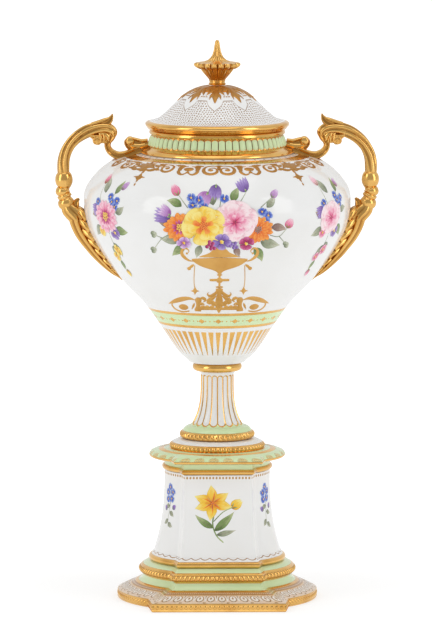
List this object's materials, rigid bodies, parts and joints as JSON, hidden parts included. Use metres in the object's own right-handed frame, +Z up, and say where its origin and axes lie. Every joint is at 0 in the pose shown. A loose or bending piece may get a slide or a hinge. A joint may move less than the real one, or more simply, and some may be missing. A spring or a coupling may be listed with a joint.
{
  "type": "lidded vase",
  "caption": "Porcelain vase with a domed cover, two gilt scroll handles, a fluted stem and its own pedestal with squared front and back panels.",
  "frame": {"origin": "on the table, under the middle of the pedestal", "axes": "+Z up along the axis of the vase, the front panel with the main flower painting faces -Y, the handles lie along X"},
  "size_m": [0.2094, 0.1728, 0.3624],
  "materials": {
    "white_porcelain": "clear gloss glaze over white porcelain, with painted and gilt decoration",
    "green_and_gilt_porcelain": "pale apple green enamel with burnished gilt mouldings",
    "gilt_porcelain": "moulded porcelain covered with burnished gilding",
    "steel": "plain drawn rod and turned hardware",
    "cork": "cork sheet"
  },
  "bodies": {
    "vase": {"pedestal_base": "green_and_gilt_porcelain", "pedestal_die": "white_porcelain", "pedestal_cap": "green_and_gilt_porcelain", "stem": "white_porcelain", "bowl": "white_porcelain", "neck_collar": "green_and_gilt_porcelain", "right_handle": "gilt_porcelain", "left_handle": "gilt_porcelain", "tie_rod": "steel", "upper_nut": "steel", "upper_washer": "steel", "upper_gasket": "cork", "lower_nut": "steel", "lower_washer": "steel", "lower_gasket": "cork"},
    "cover": {"cover": "white_porcelain", "finial": "gilt_porcelain"}
  },
  "joints": [
    {"name": "cover_lift", "type": "slide", "parent": "vase", "child": "cover", "axis": [0, 0, 1], "range_m": [0, 0.08]}
  ]
}
